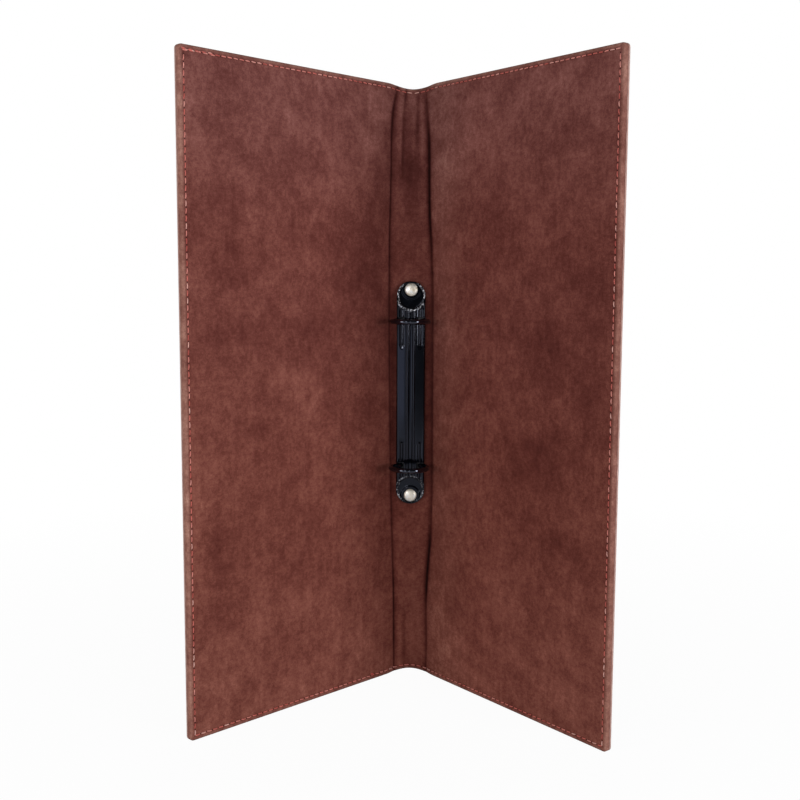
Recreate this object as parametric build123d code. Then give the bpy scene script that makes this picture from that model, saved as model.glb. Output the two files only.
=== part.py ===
from build123d import *
import os
from math import cos, radians, sin, sqrt, tan

# A slim leather menu cover that stands open like a book, with a small two-ring mechanism
# riveted to its spine. Millimetres, +Z up. The origin is at the foot of the spine, in the
# middle of its thickness. -Y is the side the reader looks at, where the linings are.

# Cover
cover_height = 328.0        # head to foot, for sheets of A4 height
leaf_reach = 131.0          # from the fold of a leaf to its fore-edge
outer_leather = 1.4         # thickness of the outer hide
board = 1.8                 # thickness of the boards in leaves and spine
lining = 0.8                # thickness of the suede lining
leaf_corner = 2.0           # rounding of a leaf's corners, seen from the front
inner_corner = 0.3          # least rounding of a corner inside the wrapped lining
lining_roundness = 1.0      # rounding of the wrapped edges of the lining
leather_roundness = 0.5     # rounding of the cut edges of the outer hide
board_play = 0.1            # room between a board's edge and what wraps it

# Folds
fold_half_gap = 11.4        # from the middle of the spine to each fold's axis
fold_forward = 1.4          # the fold's axis lies this far in front of the lining
fold_margin = 1.0           # flat pieces stop this far from the fold's axis
rest_angle = 48.3           # each leaf from the plane of the spine, as the cover stands
joint_groove = 1.2          # depth of the groove pressed in the hide along each fold
strip_lift = 0.3            # the bending strips stop this far short of head and foot

# Spine
stiffener_half_width = 9.0
hem_length = 20.0           # the hide is folded in this far at head and foot
spine_roundness = 0.35

# Two-ring mechanism, placed on the spine
mechanism_height = 161.0    # middle of the mechanism above the foot
ring_spacing = 80.0         # standard spacing of the two rings
ring_radius = 9.9           # of the wire's middle line
ring_wire = 2.7             # thickness of the ring wire
wire_sides = 10             # flats that stand for the round of the wire
ring_centre_depth = 10.7    # middle of the ring in front of the lining
ring_side_entry = 6.0       # the wire leaves its circle here to turn into its foot
foot_bend = 1.6             # radius of the bend into the foot
shank_diameter = 1.6        # riveted end of the wire, through the blade
shank_play = 0.05           # between that end and its hole in the blade
shank_stick_out = 0.28
tip_gap = 0.1               # between the faces of the closed half rings
tip_pin_diameter = 0.9
tip_pin_length = 0.8
tip_pin_play = 0.3

housing_half_width = 7.8
housing_sheet = 0.6         # pressed steel sheet
housing_shoulder = 3.0      # depth at which the side walls turn into the roof
housing_roof = 3.9          # depth of the roof
roof_half_width = 5.2       # the roof is flat to here, and then slopes to the shoulders
shoulder_roundness = 0.9
inner_roundness = 0.36      # of the same bends on the inside of the sheet
bead_offset = 1.7           # two long beads on the roof
bead_radius = 0.9
bead_rise = 0.45
rib_offset = 4.6            # short ribs beside the ring slots
rib_radius = 0.6
rib_rise = 0.35
rib_inward = 12.5           # the ribs run this far from each ring towards the middle
rib_outward = 6.0           # and this far towards the dish
slot_play = 0.65            # room each side of the wire in its slot
slot_inner_edge = 3.5       # the slots start this far from the middle

ring_to_dish = 13.7         # from each ring to the middle of the round dish beside it
dish_rim_height = 2.4
dish_wall = 0.65
flank_length = 9.2          # the roof slopes down over this length to the dish's middle
dish_to_rivet = 3.3         # the rivet sits this far beyond the dish's middle
pad_radius = 5.2            # raised pad under the rivet
pad_rise = 0.5

blade_thickness = 0.9
blade_end_play = 1.1        # room between a blade's end and the dish
blade_meeting_gap = 0.34    # between the two blades as they pass through flat
blade_tilt = 4.0            # closed, the blades dip this far towards the spine, in degrees
blade_bearing_play = 0.08   # running clearance of a blade's round edge in its lip
lip_clearance = 0.14        # the rolled lips stay this far off the lining
lip_wrap = 100.0            # degrees that a lip wraps below the blade's edge

# Rivets
rivet_shank_diameter = 4.0
rivet_bore_diameter = 2.4
rivet_head_diameter = 7.0
rivet_head_height = 1.1
rivet_head_slope = 0.9      # the head's top is this much smaller all round
rivet_hole_play = 0.05
cap_diameter = 8.6
cap_height = 1.3
cap_slope = 1.1             # the cap's top is this much smaller all round
cap_post_play = 0.05
cap_post_length = 2.2

overcut = 1.0               # cutting shapes run this far past what they cut

# Places that follow from the sizes above
lining_face = -(board / 2 + lining)
board_front = -board / 2
board_back = board / 2
leather_back = board / 2 + outer_leather
back_depth = lining_face - leather_back
fold_x = fold_half_gap
fold_y = lining_face - fold_forward
leaf_start = fold_half_gap + fold_margin
leaf_end = fold_half_gap + leaf_reach
spine_flat = fold_half_gap - fold_margin
ring_places = (ring_spacing / 2, -ring_spacing / 2)
dish_centre = ring_spacing / 2 + ring_to_dish
dish_places = (dish_centre, -dish_centre)
rivet_places = (dish_centre + dish_to_rivet, -dish_centre - dish_to_rivet)
blade_half_length = dish_centre - housing_half_width - blade_end_play
pivot_x = housing_half_width - housing_sheet - blade_thickness / 2 - blade_bearing_play
lip_inner = blade_thickness / 2 + blade_bearing_play
lip_outer = lip_inner + housing_sheet
pivot_depth = lip_outer + lip_clearance


def out(depth):
    """Y of a point that lies this far in front of the spine's lining."""
    return lining_face - depth


def sheet(left, right, foot, head, front, back):
    """A flat sheet, given by its limits in X, Z and Y."""
    middle = Pos((left + right) / 2, (front + back) / 2, (foot + head) / 2)
    return middle * Box(right - left, back - front, head - foot)


def leaf_sheet(inset, front, back):
    """A flat sheet of the right leaf, with rounded corners at its fore-edge."""
    plain = sheet(leaf_start, leaf_end - inset, inset, cover_height - inset, front, back)
    corners = plain.edges().filter_by(Axis.Y).group_by(Axis.X)[-1]
    return fillet(corners, max(leaf_corner - inset, inner_corner))


def soften(leaf, face, radius):
    """Round the head, foot and fore-edge of one face of a square-cornered leaf sheet."""
    free = leaf.faces().sort_by(Axis.Y)[face].edges().sort_by(Axis.X)[1:]
    return fillet(free, radius)


def swing(shape, angle):
    """Turn a piece about the right fold; positive angles close the leaf."""
    axis = Axis((fold_x, fold_y, 0), (0, 0, 1))
    return shape.rotate(axis, -angle)


def mirrored(shape):
    """The left-hand twin of a right-hand piece."""
    return mirror(shape, about=Plane.YZ)


def along_depth(x, z, radius, near, far):
    """A round bar square to the spine, from one depth in front of the lining to another."""
    place = Plane(origin=(x, out(near), z), x_dir=(1, 0, 0), z_dir=(0, -1, 0))
    return extrude(place * Circle(radius), far - near)


def along_height(profile, foot, head):
    """A profile drawn in the plan of the spine, made as high as asked."""
    return extrude(Pos(0, 0, foot) * profile, head - foot)


# Leaves, made flat with the spine and then swung to the standing angle

def leaf_outer_leather():
    hide = sheet(leaf_start, leaf_end, 0, cover_height, board_back, leather_back)
    return soften(hide, -1, leather_roundness) & leaf_sheet(0.0, board_back, leather_back)


def leaf_lining():
    """The suede over the board's front, wrapped round its three free edges."""
    wrap = sheet(leaf_start, leaf_end, 0, cover_height, lining_face, board_back)
    wrap = soften(wrap, 0, lining_roundness) & leaf_sheet(0.0, lining_face, board_back)
    return wrap - leaf_sheet(lining, board_front, board_back)


def leaf_board():
    return leaf_sheet(lining + board_play, board_front, board_back)


# Spine

def rivet_holes(near, far):
    """The two holes for the rivets, as cutting bars."""
    radius = rivet_shank_diameter / 2 + rivet_hole_play
    bars = [along_depth(0, mechanism_height + z, radius, near, far) for z in rivet_places]
    return Part() + bars


def spine_through_holes():
    return rivet_holes(back_depth - overcut, overcut)


def spine_outer_leather():
    hide = sheet(-spine_flat, spine_flat, 0, cover_height, board_back, leather_back)
    ends = hide.edges().filter_by(Axis.X).group_by(Axis.Y)[-1]
    hide = fillet(ends, leather_roundness)
    hem_foot = sheet(-spine_flat, spine_flat, 0, hem_length, board_front, board_back)
    hem_head = Pos(0, 0, cover_height - hem_length) * hem_foot
    return hide + hem_foot + hem_head - spine_through_holes()


def spine_stiffener():
    end = hem_length + board_play
    strip = sheet(-stiffener_half_width, stiffener_half_width, end, cover_height - end,
                  board_front, board_back)
    return strip - spine_through_holes()


def spine_lining():
    suede = sheet(-spine_flat, spine_flat, 0, cover_height, lining_face, board_front)
    ends = suede.edges().filter_by(Axis.X).group_by(Axis.Y)[0]
    return fillet(ends, spine_roundness) - spine_through_holes()


# Bending strips over the right fold, as they lie when the cover stands

fold_tangent = fold_margin + fold_forward * tan(radians(rest_angle / 2))
fold_radius = fold_tangent / tan(radians(rest_angle / 2))


def fold_point(radius, share):
    """A point at a share of the bend, this far from the bend's centre."""
    angle = radians(rest_angle * share)
    return (spine_flat + radius * sin(angle), lining_face - fold_radius + radius * cos(angle))


def fold_strip(inner, outer, groove):
    """A strip round the fold, dipping by the groove at its middle."""
    faces = []
    for radius in (inner, outer):
        faces.append(ThreePointArc(
            fold_point(radius, 0.0), fold_point(radius - groove, 0.5), fold_point(radius, 1.0)))
    near_end = Line(faces[0] @ 0, faces[1] @ 0)
    far_end = Line(faces[0] @ 1, faces[1] @ 1)
    profile = make_face([faces[0], far_end, faces[1], near_end])
    return along_height(profile, strip_lift, cover_height - strip_lift)


def lining_fold_strip():
    return fold_strip(fold_radius, fold_radius + lining, 0.0)


def leather_fold_strip():
    inner = fold_radius + lining + board
    return fold_strip(inner, inner + outer_leather, joint_groove)


# Ring mechanism, made round its own middle and then lifted to its height

def roof_outline(inset, bottom, roundness):
    """Section of the housing seen from above, drawn as depths in front of the lining."""
    half = housing_half_width - inset
    roof = housing_roof - inset
    slope = (housing_roof - housing_shoulder) / (housing_half_width - roof_half_width)
    lean = inset * (sqrt(1 + slope * slope) - 1) / slope
    shoulder = roof - slope * (half - roof_half_width + lean)
    outline = Polyline(
        (half, out(bottom)), (half, out(shoulder)), (roof_half_width - lean, out(roof)),
        (lean - roof_half_width, out(roof)), (-half, out(shoulder)), (-half, out(bottom)),
        close=True)
    face = make_face(outline)
    bends = face.vertices().sort_by(Axis.Y)[:-2]
    return fillet(bends, roundness)


def long_beads():
    beads = Sketch()
    for x in (bead_offset, -bead_offset):
        beads += Pos(x, out(housing_roof + bead_rise - bead_radius)) * Circle(bead_radius)
    return beads


def side_profile(inset):
    """Height of the housing along its length: full over the blades, low round the dishes."""
    end = dish_centre + housing_half_width + overcut
    top = housing_roof + bead_rise + rib_rise - inset
    rim = dish_rim_height - inset
    half = [(end, rim), (dish_centre, rim), (dish_centre - flank_length, top)]
    points = [(-end, -overcut)] + [(-z, depth) for z, depth in half]
    points += [(z, depth) for z, depth in reversed(half)] + [(end, -overcut)]
    corners = [Vector(0, out(depth), z) for z, depth in points]
    face = make_face(Polyline(*corners, close=True))
    return extrude(face, housing_half_width + overcut, both=True)


def dish_bars(radius, near, far):
    bars = [along_depth(0, z, radius, near, far) for z in dish_places]
    return Part() + bars


def short_ribs():
    """Ribs beside the ring slots, two at each ring."""
    ribs = Part()
    depth = housing_roof + rib_rise - rib_radius
    start = ring_spacing / 2 - rib_inward
    end = ring_spacing / 2 + rib_outward
    upper = Pos(rib_offset, out(depth)) * along_height(Circle(rib_radius), start, end)
    for rib in (upper, mirror(upper, about=Plane.XY)):
        ribs += [rib, mirrored(rib)]
    return ribs


def blade_lip():
    """The rolled edge that carries the right blade's round edge."""
    centre = Vector(pivot_x, out(pivot_depth))
    ring = Pos(centre) * (Circle(lip_outer) - Circle(lip_inner))
    reach = 2 * lip_outer + overcut
    end = radians(lip_wrap)
    corner = centre + Vector(reach * cos(end), reach * sin(end))
    wedge = make_face(Polyline(
        centre, centre + Vector(reach, 0), centre + Vector(reach, reach),
        centre + Vector(0, reach), corner, close=True))
    return ring & wedge


def ring_slots():
    """Slots through roof and side walls where the wires come out."""
    slots = Part()
    half = ring_wire / 2 + slot_play
    for z in ring_places:
        right = sheet(slot_inner_edge, housing_half_width + overcut, z - half, z + half,
                      out(housing_roof + bead_rise + overcut), out(pivot_depth))
        slots += [right, mirrored(right)]
    return slots


def ring_housing():
    """The pressed cover of the mechanism, with a riveting dish at each end."""
    deep = housing_roof + bead_rise + overcut
    dish_radius = housing_half_width - dish_wall
    section = roof_outline(0.0, pivot_depth, shoulder_roundness) + long_beads()
    body = along_height(section, -dish_centre, dish_centre) + short_ribs()
    body += dish_bars(housing_half_width, 0, deep)
    body &= side_profile(0.0)
    hollow = roof_outline(housing_sheet, -overcut, inner_roundness)
    space = along_height(hollow, -dish_centre, dish_centre) & side_profile(housing_sheet)
    body -= space - dish_bars(housing_half_width, -overcut, deep)
    lip = along_height(blade_lip(), -dish_centre, dish_centre)
    body += (lip + mirrored(lip)) - dish_bars(dish_radius, -overcut, deep)
    body -= ring_slots()
    body -= dish_bars(dish_radius, housing_sheet, deep)
    for dish, z in zip(dish_places, rivet_places):
        pad = along_depth(0, z, pad_radius, housing_sheet, housing_sheet + pad_rise)
        body += pad & along_depth(0, dish, dish_radius, 0, deep)
    body = Pos(0, 0, mechanism_height) * body
    return body - rivet_holes(-overcut, deep)


def tilt_blade(shape):
    """Tip a piece of the right blade from flat to its closed position."""
    return shape.rotate(Axis((pivot_x, out(pivot_depth), 0), (0, 0, 1)), -blade_tilt)


def foot_turn():
    """How far the wire turns from its circle into its upright foot, in radians."""
    drop = sqrt(ring_radius ** 2 - ring_side_entry ** 2)
    return radians(Vector(-drop, -ring_side_entry).get_angle(Vector(0, -1)))


def wire_foot_x():
    """Where the foot of the wire comes down on the blade."""
    return ring_side_entry - foot_bend * (1 - cos(foot_turn()))


def shank(z, near, far, radius):
    """A bar square to the tilted blade at a ring's foot, measured from the blade's middle."""
    arm = (pivot_x - wire_foot_x()) / cos(radians(blade_tilt))
    bar = along_depth(pivot_x - arm, z, radius, pivot_depth + near, pivot_depth + far)
    return tilt_blade(bar)


def ring_blade():
    """The right blade: a strip with one round edge in the housing's lip."""
    reach = pivot_x - blade_meeting_gap / 2
    strip = Pos(pivot_x - reach / 2, out(pivot_depth)) * Rectangle(reach, blade_thickness)
    edge = Pos(pivot_x, out(pivot_depth)) * Circle(blade_thickness / 2)
    blade = tilt_blade(along_height(strip + edge, -blade_half_length, blade_half_length))
    for z in ring_places:
        blade -= shank(z, -blade_thickness, blade_thickness, shank_diameter / 2 + shank_play)
    return Pos(0, 0, mechanism_height) * blade


def half_ring(z, has_pin):
    """A right half ring. One half of each pair has a pin in its tip, the other a socket."""
    drop = sqrt(ring_radius ** 2 - ring_side_entry ** 2)
    rise = sqrt(ring_radius ** 2 - (tip_gap / 2) ** 2)
    middle = out(ring_centre_depth)
    bend_drop = foot_bend * sin(foot_turn())
    tip = Vector(tip_gap / 2, middle - rise, z)
    side = Vector(ring_side_entry, middle + drop, z)
    circle = ThreePointArc(tip, Vector(ring_radius, middle, z), side)
    bend = TangentArc(side, Vector(wire_foot_x(), side.Y + bend_drop, z), tangent=circle % 1)
    foot = Line(bend @ 1, Vector(wire_foot_x(), out(0), z))
    profile = Plane(origin=tip, z_dir=circle % 0) * RegularPolygon(ring_wire / 2, wire_sides)
    wire = sweep(profile, path=Wire([circle, bend, foot]))
    top = blade_thickness / 2
    below_blade = sheet(0, ring_radius + ring_wire, z - ring_wire, z + ring_wire,
                        out(pivot_depth + top), out(-overcut))
    wire -= tilt_blade(below_blade)
    wire += shank(z, -top - shank_stick_out, top, shank_diameter / 2)
    inner_end = tip_gap / 2 + tip_pin_length
    start = tip_gap / 2 - tip_pin_length if has_pin else 0
    place = Plane(origin=(start, tip.Y, z), x_dir=(0, 0, 1), z_dir=(1, 0, 0))
    if has_pin:
        wire += extrude(place * Circle(tip_pin_diameter / 2), inner_end - start)
    else:
        socket = place * Circle(tip_pin_diameter / 2 + tip_pin_play)
        wire -= extrude(socket, inner_end + tip_pin_play)
    return Pos(0, 0, mechanism_height) * wire


# Rivets

def low_head(z, radius, slope, seat, height):
    """A low head with a sloped side, on the front or, with a negative height, on the back."""
    way = -1 if height > 0 else 1
    place = Plane(origin=(0, out(seat), z), x_dir=(1, 0, 0), z_dir=(0, way, 0))
    seated = (Align.CENTER, Align.CENTER, Align.MIN)
    return place * Cone(radius, radius - slope, abs(height), align=seated)


def rivet(z):
    """A tubular rivet, its low head on the pad and its tube through the spine."""
    seat = housing_sheet + pad_rise
    head = low_head(z, rivet_head_diameter / 2, rivet_head_slope, seat, rivet_head_height)
    tube = along_depth(0, z, rivet_shank_diameter / 2, back_depth, seat)
    bore = along_depth(0, z, rivet_bore_diameter / 2, back_depth, seat)
    return Pos(0, 0, mechanism_height) * (head + tube - bore)


def rivet_cap(z):
    """The cap on the outside of the spine, its post in the rivet's tube."""
    cap = low_head(z, cap_diameter / 2, cap_slope, back_depth, -cap_height)
    post_radius = rivet_bore_diameter / 2 - cap_post_play
    post = along_depth(0, z, post_radius, back_depth, back_depth + cap_post_length)
    return Pos(0, 0, mechanism_height) * (cap + post)


def all_pieces():
    pieces = {}
    right_leaf = {
        "outer_leather": leaf_outer_leather(),
        "board": leaf_board(),
        "lining": leaf_lining(),
    }
    for name, piece in right_leaf.items():
        standing = swing(piece, rest_angle)
        pieces["right_" + name] = standing
        pieces["left_" + name] = mirrored(standing)
    strips = {"outer_hinge": leather_fold_strip(), "lining_hinge": lining_fold_strip()}
    for name, strip in strips.items():
        pieces["right_" + name] = strip
        pieces["left_" + name] = mirrored(strip)
    pieces["spine_outer_leather"] = spine_outer_leather()
    pieces["spine_stiffener"] = spine_stiffener()
    pieces["spine_lining"] = spine_lining()
    pieces["ring_housing"] = ring_housing()
    blade = ring_blade()
    pieces["right_blade"] = blade
    pieces["left_blade"] = mirrored(blade)
    for level, z in zip(("upper", "lower"), ring_places):
        pieces[level + "_right_half_ring"] = half_ring(z, False)
        pieces[level + "_left_half_ring"] = mirrored(half_ring(z, True))
    for level, z in zip(("upper", "lower"), rivet_places):
        pieces[level + "_rivet"] = rivet(z)
        pieces[level + "_rivet_cap"] = rivet_cap(z)
    return pieces


os.makedirs("parts", exist_ok=True)
for name, piece in all_pieces().items():
    export_step(piece, "parts/" + name + ".step")
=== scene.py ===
from math import cos, radians, sin, sqrt, tan

import bmesh
import bpy
import numpy as np
from mathutils import Matrix, Vector


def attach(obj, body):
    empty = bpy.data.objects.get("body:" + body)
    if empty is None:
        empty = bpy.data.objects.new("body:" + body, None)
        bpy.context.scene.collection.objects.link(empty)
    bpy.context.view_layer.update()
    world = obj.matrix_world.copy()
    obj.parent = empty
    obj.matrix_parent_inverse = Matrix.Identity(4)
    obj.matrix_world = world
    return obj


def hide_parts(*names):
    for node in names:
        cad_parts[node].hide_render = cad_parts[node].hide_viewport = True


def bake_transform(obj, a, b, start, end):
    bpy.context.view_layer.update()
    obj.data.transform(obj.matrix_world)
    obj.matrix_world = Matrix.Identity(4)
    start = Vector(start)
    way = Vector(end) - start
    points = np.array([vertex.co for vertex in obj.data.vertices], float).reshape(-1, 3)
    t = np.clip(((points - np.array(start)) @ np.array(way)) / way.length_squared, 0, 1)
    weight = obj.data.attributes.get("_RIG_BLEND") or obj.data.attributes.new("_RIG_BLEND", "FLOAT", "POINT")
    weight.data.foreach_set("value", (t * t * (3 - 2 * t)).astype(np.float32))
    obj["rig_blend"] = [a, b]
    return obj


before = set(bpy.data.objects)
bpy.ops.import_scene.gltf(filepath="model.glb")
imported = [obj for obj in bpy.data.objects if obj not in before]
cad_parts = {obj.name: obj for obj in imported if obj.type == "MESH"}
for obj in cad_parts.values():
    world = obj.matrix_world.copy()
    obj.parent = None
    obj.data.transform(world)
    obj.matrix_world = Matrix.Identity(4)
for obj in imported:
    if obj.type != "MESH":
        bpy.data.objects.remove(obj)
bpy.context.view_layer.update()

# Menu cover that stands open like a book, seen from the reader's side. Sizes are written in
# millimetres, as on the drawing of the solids, and are turned to metres as a mesh is made.
MM = 0.001

# Cover
COVER_HEIGHT = 328.0
LEAF_REACH = 131.0
REST_ANGLE = radians(48.3)
FOLD_AXIS = (11.4, -3.1)
LINING_FACE = -1.7
LINING = 0.8
BOARD = 1.8
HIDE = 1.4
COVER_THICK = LINING + BOARD + HIDE
SEAM_GAP = 0.2              # dark line between the wrapped suede and the hide's cut edge
LEAF_CORNER = 2.0
WRAP_ROUND = 1.0            # rounding of the suede where it turns over the board's edge
WRAP_TURN = 1.8             # depth of one more row of points on that turned wall
CUT_ROUND = 0.5             # rounding of the hide's cut edge
HIDE_GROOVE = (1.2, 0.15, 1.1)      # depth, place inside the corner, half width
CORNER_CROSS = 12.03        # the planes of lining and leaf would meet here
STRAIGHT_FROM = 15.0        # the leaf is straight from here
BEND_REACH = 2.4            # the cover bends this far each side of a fold's axis
BOARD_FROM = 16.5           # a leaf's board starts here
STIFFENER_SHARE = 0.74      # half width of the spine's board, as a share of the spine's
STIFFENER_INSET = 20.1

# Spine's ends, which belly out to the back and are drawn in between the leaves.
# Each crease wanders a little: (height, distance from the spine's middle), by side.
CREASES = {
    -1: ((0, 8.9), (43, 9.2), (61, 9.6), (84, 10.4), (101, 10.9), (130, 11.3), (200, 12.0),
         (245, 12.0), (277, 11.3), (300, 11.2), (316, 10.3), (325, 8.3), (328, 7.7)),
    1: ((0, 8.9), (15, 9.4), (38, 8.8), (55, 9.3), (67, 10.2), (81, 11.4), (101, 11.9),
        (218, 11.6), (242, 10.8), (250, 10.0), (261, 9.4), (300, 8.9), (308, 8.2),
        (316, 7.4), (328, 6.9)),
}
CREASE_TO_CORNER = 0.35     # the crease lies this far inside the corner of spine and leaf
FLAT_FROM = 70.0            # the spine is held flat behind the mechanism between these
FLAT_TO = 252.0
FLAT_EASE = 28.0            # and eases into its belly over this height
BELLY_SHARE = 0.58          # swell of the spine between its creases, for each mm drawn in
SOFT_CORNER = 1.3           # rounding of the corner, which gets tighter as it is drawn in
SOFT_LOSS = 0.2
SOFT_LEAST = 0.5
END_DIP = 2.0               # the spine's edge lies this far inside the leaves' ends
DIP_HALF_WIDTH = 13.0
DIP_FADE = 30.0

# Seam
SEAM_INSET = 2.5
SEAM_SINK = 0.22
STITCH_PITCH = 3.4
STITCH_LENGTH = 2.7
BACK_TACK = 16.0            # length of the back-tack, by the left leaf's head corner
THREAD = 0.58
STITCH_ARCH = 0.58
STITCH_SLANT = 0.06
# The seam is sewn three times along the back-tack: from and to, as shares of it, and how far
# above the seam each run begins and ends
BACK_TACK_RUNS = ((0, 1, 0.55, -0.35), (0.05, 0.9, -0.35, 0.5), (0.02, 0.7, 0.1, 0.15))
KNOT_PLACE = (23.2, 3.4, -0.25)
KNOT_HALF = (0.85, 0.6, 0.6)

# Mechanism
MECHANISM_HEIGHT = 161.0
HALF_SPACING = 40.0
RING_RADIUS = 9.9
RING_WIRE = 2.7
RING_CENTRE = 10.7
RING_ENTRY = 6.0
TIP_GAP = 0.06
TIP_ROUND = 0.86            # thickness of the wire's tip, as a share of the wire's
FOOT_BEND = 1.6
FOOT_DEPTH = 1.35           # depth at which the wire ends, on the blade
HOUSING_HALF = 7.8
SHEET_STEEL = 0.6
SHOWN_SHEET = 0.45          # thickness of the housing's shell in the scene
ROOF = 3.9
CROWN_HALF = 2.7            # the roof is flat this far out, then falls in a wide curve
CROWN_FALL = 70.0
EDGE_TURN = 6.9
MIDDLE_GROOVE = 0.4
BEAD_PLACE = 1.7
BEAD_ROUND = 0.9
RIB_PLACE = 4.9
RIB_FROM = HALF_SPACING - 12.5
RIB_TO = HALF_SPACING + 6.0
RIB_HALF = 0.85
RIB_RISE = 0.42
RIB_MOAT = 0.22             # depth of the hollow round each rib
SHOULDER = 9.2              # the roof comes down to the dish's rim over this length
SLOT_FROM = 3.5
SLOT_PLAY = 0.65
WALL_MIDDLE = 0.55          # the side walls' rows, as a share of the roof and in millimetres
WALL_FOOT = 0.12
DISH_CENTRE = 53.7
DISH_RIM = 2.4
DISH_WALL = 0.65
RIM_ROUND = 0.55
RIVET_PLACE = 57.0
PAD_RADIUS = 5.2
PAD_RISE = 0.5
RIVET_RADIUS = 3.55
RIVET_RISE = 1.25
CAP_RADIUS = 4.3
CAP_RISE = 1.3
# Bare-steel chips on the dishes' rims, partly wear and partly painted highlight: which end, how much, and
# the angle where they are most
RIM_WEAR_AND_GLINT = ((-1, 0.3, -10), (1, 1.0, 8))


# Small tools

# The kinds of node used most. CARRIED reads what a piece's own mesh carries at its points.
MATH = "ShaderNodeMath"
RAMP = "ShaderNodeValToRGB"
MIX = "ShaderNodeMix"
EASE = "ShaderNodeMapRange"
CARRIED = "ShaderNodeAttribute"
NOISE_SPAN = {"From Min": 0.3, "From Max": 0.7}     # most of a noise lies between these


def linear(hex_colour):
    """A colour written as sRGB hex, as the shader wants it."""
    parts = [int(hex_colour[i:i + 2], 16) / 255 for i in (1, 3, 5)]
    turned = [c / 12.92 if c <= 0.04045 else ((c + 0.055) / 1.055) ** 2.4 for c in parts]
    return (*turned, 1.0)


def add_node(tree, kind, inputs=None, out=0, stops=(), **settings):
    """Add a node with its settings. An input, by name or number, is fed by a socket or takes a
    plain value or an sRGB hex colour. Stops are the places and colours of a colour ramp. It
    returns one of the node's outputs, or all of them where out is None."""
    node = tree.nodes.new(kind)
    for name, value in settings.items():
        setattr(node, name, value)
    for key, value in (inputs or {}).items():
        if isinstance(value, bpy.types.NodeSocket):
            tree.links.new(value, node.inputs[key])
        else:
            node.inputs[key].default_value = linear(value) if str(value).startswith("#") else value
    if stops:
        band = node.color_ramp
        band.interpolation = "EASE"
        while len(band.elements) < len(stops):
            band.elements.new(0.5)
        for element, (place, colour) in zip(band.elements, stops):
            element.position = place
            element.color = linear(colour)
    if out is None or len(node.outputs) == 0:
        return node.outputs
    return node.outputs[out]


def add_object(name, data):
    """A mesh, lamp or camera in the scene, at the origin and unturned."""
    thing = bpy.data.objects.new(name, data)
    bpy.context.scene.collection.objects.link(thing)
    return thing


def shade_smooth(mesh):
    mesh.polygons.foreach_set("use_smooth", [True] * len(mesh.polygons))


def plain_mesh(piece):
    """The mesh that a piece shows with its modifiers."""
    bpy.context.view_layer.update()
    ready = piece.evaluated_get(bpy.context.evaluated_depsgraph_get())
    return bpy.data.meshes.new_from_object(ready)


def finish_mesh(name, points, faces, materials, face_slots=None, attributes=None, sharp=35):
    """A shaded mesh object from points in millimetres."""
    mesh = bpy.data.meshes.new(name)
    mesh.from_pydata([tuple(p * MM) for p in np.asarray(points, float)], [], faces)
    for material in materials:
        mesh.materials.append(material)
    if face_slots is not None:
        mesh.polygons.foreach_set("material_index", face_slots)
    for key, values in (attributes or {}).items():
        values = np.asarray(values, np.float32)
        kind = "FLOAT_VECTOR" if values.ndim == 2 else "FLOAT"
        layer = mesh.attributes.new(key, kind, "POINT")
        layer.data.foreach_set("vector" if values.ndim == 2 else "value", values.ravel())
    mesh.update()
    shell = bmesh.new()
    shell.from_mesh(mesh)
    bmesh.ops.recalc_face_normals(shell, faces=shell.faces)
    shell.to_mesh(mesh)
    shell.free()
    shade_smooth(mesh)
    mesh.set_sharp_from_angle(angle=radians(sharp))
    return add_object(name, mesh)


def round_turns(count):
    return [2 * np.pi * k / count for k in range(count)]


def capped_skin(rings):
    """Points and faces of a skin laid over rings of points and closed at both ends."""
    count, last = len(rings[0]), len(rings) - 1
    points = [point for ring in rings for point in ring]
    faces = []
    for j in range(last):
        for k in range(count):
            here, after = j * count + k, j * count + (k + 1) % count
            faces.append((here, after, after + count, here + count))
    faces.append(tuple(range(count)))
    faces.append(tuple(range(last * count, len(points))))
    return points, faces


# Shape of the cover. A place on it is (across, height, depth): across runs from the middle
# of the spine to the fore-edge, depth goes back from the lining's face.

def crease_place(z, side):
    """Where the crease runs at a height, eased over a few millimetres."""
    levels, places = zip(*CREASES[side])
    z = np.asarray(z, float)
    return sum(np.interp(z + step, levels, places) for step in (-6, -3, 0, 3, 6)) / 5


def smooth_step(t):
    t = np.clip(t, 0, 1)
    return t * t * (3 - 2 * t)


def end_draw(z, side):
    """How far the corner of spine and leaf is drawn in at a height."""
    z = np.asarray(z, float)
    drawn = np.clip(CORNER_CROSS - crease_place(z, side) - CREASE_TO_CORNER, 0, None)
    free = smooth_step((FLAT_FROM + FLAT_EASE - z) / FLAT_EASE)
    free = free + smooth_step((z - FLAT_TO + FLAT_EASE) / FLAT_EASE)
    return drawn * free


def corner_place(z, side):
    return CORNER_CROSS - end_draw(z, side)


def lining_face(x, z, side):
    """Y of the lining's face near the spine. Both sides meet at the middle of the spine."""
    draw = end_draw(z, side)
    corner = CORNER_CROSS - draw
    slope = tan(REST_ANGLE)
    leaf = LINING_FACE + (CORNER_CROSS - x) * slope
    middle = (end_draw(z, -1) + end_draw(z, 1)) / 2
    fall = (x / corner) ** 2
    swell = middle * (slope + BELLY_SHARE)
    spine = LINING_FACE + swell + (draw * slope - swell) * fall
    soft = np.clip(SOFT_CORNER - SOFT_LOSS * draw, SOFT_LEAST, None)
    near = np.clip(soft - np.abs(leaf - spine), 0, None) / soft
    return np.minimum(leaf, spine) - near ** 2 * soft / 4


def end_dip(across):
    share = np.clip(1 - (across / DIP_HALF_WIDTH) ** 2, 0, 1)
    return END_DIP * share ** 2


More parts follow.
